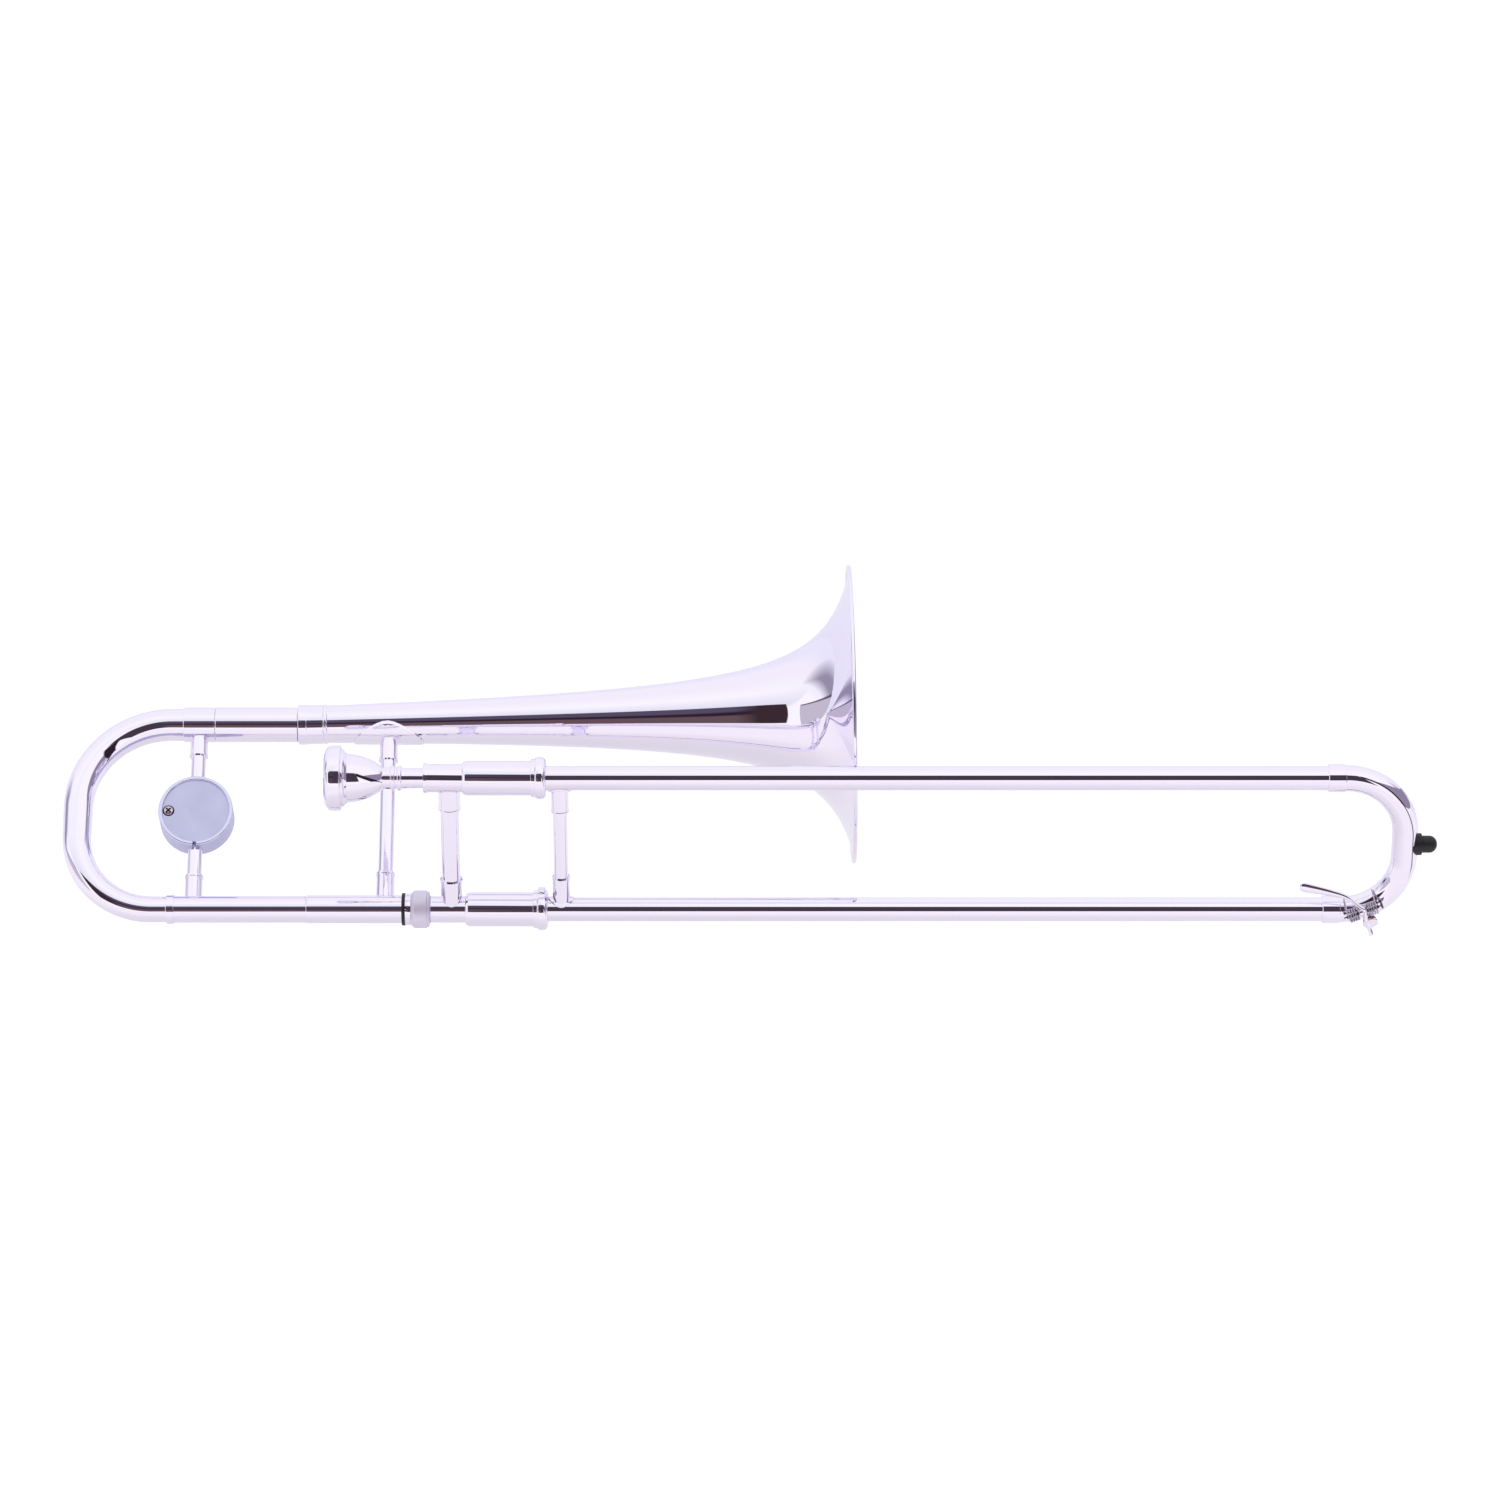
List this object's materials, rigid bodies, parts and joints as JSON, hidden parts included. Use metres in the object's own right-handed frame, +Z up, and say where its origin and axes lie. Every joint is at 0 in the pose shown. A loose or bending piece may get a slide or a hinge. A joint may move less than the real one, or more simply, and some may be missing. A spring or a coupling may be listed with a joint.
{
  "type": "alto trombone",
  "caption": "Silver-plated alto trombone with hand slide, tuning slide carrying a drum counterweight, flared bell, mouthpiece and a sprung water key.",
  "frame": {"origin": "middle of the hand brace, on the axis of its tube, where the left hand holds the instrument", "axes": "+X along the hand slide towards its bow, +Z up the hand brace from the lower slide leg to the upper one, -Y the side the picture looks at; the bell's plane leans 52 degrees from +Z towards +Y"},
  "size_m": [0.8083, 0.2072, 0.1789],
  "materials": {
    "silver_plate": "mirror polished silver plate on brass",
    "satin_silver": "satin silver plate on brass",
    "black_rubber": "matt moulded rubber",
    "cork": "cut cork, sealed",
    "dark_steel": "drawn steel, dark",
    "lead": "cast, dull"
  },
  "bodies": {
    "inner_slide": {"mouthpiece_receiver": "silver_plate", "leadpipe": "silver_plate", "inner_tube_upper": "silver_plate", "inner_tube_lower": "silver_plate", "cork_barrel_upper": "silver_plate", "cork_barrel_lower": "silver_plate", "barrel_cork_upper": "cork", "barrel_cork_lower": "cork", "barrel_ring": "silver_plate", "lower_receiver": "silver_plate", "slide_tenon": "silver_plate", "hand_brace": "silver_plate", "hand_brace_socket_upper": "silver_plate", "hand_brace_socket_lower": "silver_plate"},
    "mouthpiece": {"mouthpiece": "silver_plate"},
    "slide_lock": {"slide_lock": "silver_plate"},
    "lock_nut": {"lock_nut": "satin_silver"},
    "outer_slide": {"outer_tube_upper": "silver_plate", "outer_tube_lower": "silver_plate", "slide_brace": "silver_plate", "slide_brace_foot_upper": "silver_plate", "slide_brace_foot_lower": "silver_plate", "lock_lug": "silver_plate", "bow_ferrule_upper": "silver_plate", "bow_ferrule_lower": "silver_plate", "slide_bow": "silver_plate", "bumper_stud": "silver_plate", "end_bumper": "black_rubber", "water_key_saddle": "silver_plate", "water_key_rod": "dark_steel", "water_key_nipple": "silver_plate", "water_key_spring": "dark_steel"},
    "water_key": {"water_key_lever": "silver_plate", "water_key_cork": "cork"},
    "bell_section": {"bell_receiver": "silver_plate", "receiver_ring": "black_rubber", "neckpipe": "silver_plate", "neckpipe_inner_leg": "silver_plate", "tuning_sleeve_upper": "silver_plate", "bell_ferrule": "silver_plate", "bell": "silver_plate", "bell_brace": "silver_plate", "bell_brace_socket": "silver_plate", "bell_brace_foot": "silver_plate"},
    "tuning_slide": {"tuning_bow": "silver_plate", "tuning_ferrule_upper": "silver_plate", "tuning_ferrule_lower": "silver_plate", "tuning_inner_leg": "silver_plate", "tuning_sleeve_lower": "silver_plate", "weight_brace_upper": "silver_plate", "weight_brace_lower": "silver_plate", "weight_socket_upper": "silver_plate", "weight_socket_lower": "silver_plate", "counterweight_drum": "satin_silver", "counterweight_slug": "lead", "counterweight_cover": "satin_silver", "counterweight_screw": "dark_steel"}
  },
  "joints": [
    {"name": "hand_slide", "type": "slide", "parent": "inner_slide", "child": "outer_slide", "axis": [1, 0, 0], "range_m": [0, 0.43]},
    {"name": "water_key_lift", "type": "hinge", "parent": "outer_slide", "child": "water_key", "pos_m": [0.5344, -0.01257, -0.03844], "axis": [-0.9272, 0, -0.3746], "range_deg": [0, 12], "stiffness_Nm_per_rad": 0.03, "springref_deg": -34.38, "deforming": ["water_key_spring"]},
    {"name": "bell_turn", "type": "hinge", "parent": "inner_slide", "child": "bell_section", "pos_m": [0, 0, -0.04375], "axis": [-1, 0, 0], "range_deg": [0, 250]},
    {"name": "tuning_pull", "type": "slide", "parent": "bell_section", "child": "tuning_slide", "axis": [-1, 0, 0], "range_m": [0, 0.035]},
    {"name": "lock_nut_turn", "type": "hinge", "parent": "inner_slide", "child": "lock_nut", "pos_m": [-0.0185, 0, -0.04375], "axis": [1, 0, 0], "range_deg": [0, 540]},
    {"name": "slide_lock_turn", "type": "hinge", "parent": "inner_slide", "child": "slide_lock", "pos_m": [0.052, 0, -0.04375], "axis": [1, 0, 0], "range_deg": [0, 50]},
    {"name": "mouthpiece_pull", "type": "slide", "parent": "inner_slide", "child": "mouthpiece", "axis": [-1, 0, 0], "range_m": [0, 0.03]}
  ]
}
